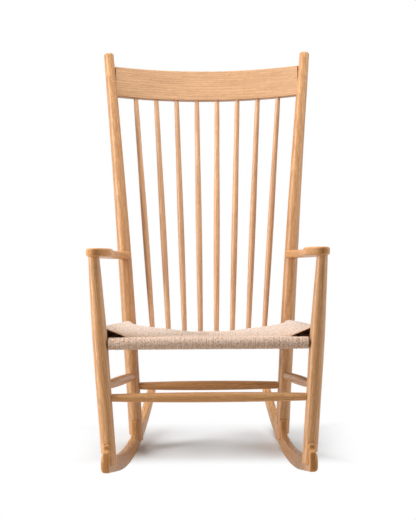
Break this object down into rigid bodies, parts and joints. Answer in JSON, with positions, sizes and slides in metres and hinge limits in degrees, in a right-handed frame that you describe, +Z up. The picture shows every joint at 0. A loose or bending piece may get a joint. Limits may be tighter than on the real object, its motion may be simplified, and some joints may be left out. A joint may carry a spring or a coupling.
{
  "type": "rocking chair",
  "caption": "Spindle-back armchair on two curved rockers, turned light-wood frame with a curved back, sloping flat arms and a seat woven from cord.",
  "frame": {"origin": "on the floor at the middle of the chair's outline, with the chair standing balanced on its rockers", "axes": "+Z up, the chair faces -Y, +X is the sitter's left"},
  "size_m": [0.6232, 0.8922, 1.0717],
  "materials": {
    "light_wood": "satin",
    "paper_cord": "matte"
  },
  "bodies": {
    "root": {"rocker_left": "light_wood", "rocker_right": "light_wood", "front_leg_left": "light_wood", "front_leg_right": "light_wood", "back_post_left": "light_wood", "back_post_right": "light_wood", "crest_rail": "light_wood", "lower_back_rail": "light_wood", "back_spindle_1": "light_wood", "back_spindle_2": "light_wood", "back_spindle_3": "light_wood", "back_spindle_4": "light_wood", "back_spindle_5": "light_wood", "back_spindle_6": "light_wood", "back_spindle_7": "light_wood", "back_spindle_8": "light_wood", "arm_left": "light_wood", "arm_right": "light_wood", "front_seat_rail": "light_wood", "rear_seat_rail": "light_wood", "side_seat_rail_left": "light_wood", "side_seat_rail_right": "light_wood", "front_stretcher": "light_wood", "rear_stretcher": "light_wood", "side_stretcher_left": "light_wood", "side_stretcher_right": "light_wood", "seat_weave_front": "paper_cord", "seat_weave_rear": "paper_cord", "seat_weave_left": "paper_cord", "seat_weave_right": "paper_cord"}
  },
  "joints": []
}
